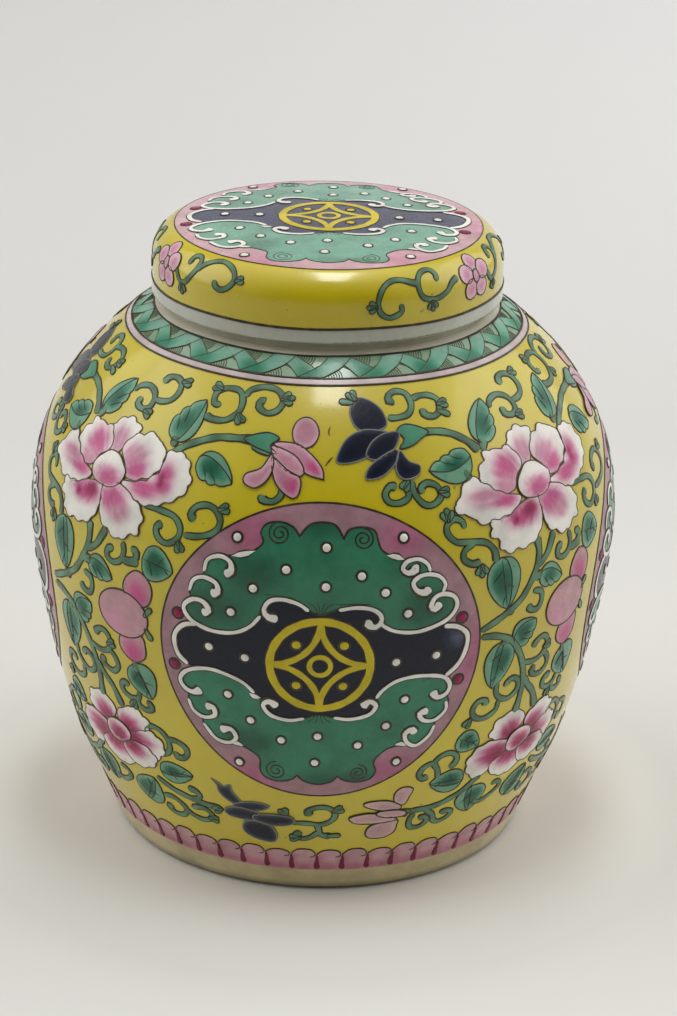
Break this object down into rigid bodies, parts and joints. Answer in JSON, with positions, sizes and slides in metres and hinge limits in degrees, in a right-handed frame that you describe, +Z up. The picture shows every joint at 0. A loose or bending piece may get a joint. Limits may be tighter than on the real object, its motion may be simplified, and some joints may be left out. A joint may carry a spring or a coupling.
{
  "type": "ginger jar",
  "caption": "Covered ovoid porcelain jar on a flared foot, with an upright neck under a flat-topped cap lid, painted in enamels on a yellow ground.",
  "frame": {"origin": "centre of the foot, on the ground", "axes": "+Z up along the jar's axis of revolution; +X to the right and +Y to the back, with a painted medallion facing -Y"},
  "size_m": [0.213, 0.213, 0.23],
  "materials": {
    "yellow_enamel": "glossy yellow enamel ground over porcelain",
    "painted_enamel": "slightly raised glossy enamels: turquoise green, mauve pink, crimson, navy and white",
    "ink_line": "thin brown-black brush outlines under the glaze",
    "bare_porcelain": "unglazed cream porcelain at the foot, ledge and lid rim"
  },
  "bodies": {
    "jar": {"jar_body": "yellow_enamel"},
    "lid": {"lid": "yellow_enamel"}
  },
  "joints": [
    {"name": "lid_lift", "type": "slide", "parent": "jar", "child": "lid", "axis": [0, 0, 1], "range_m": [0, 0.12]}
  ]
}
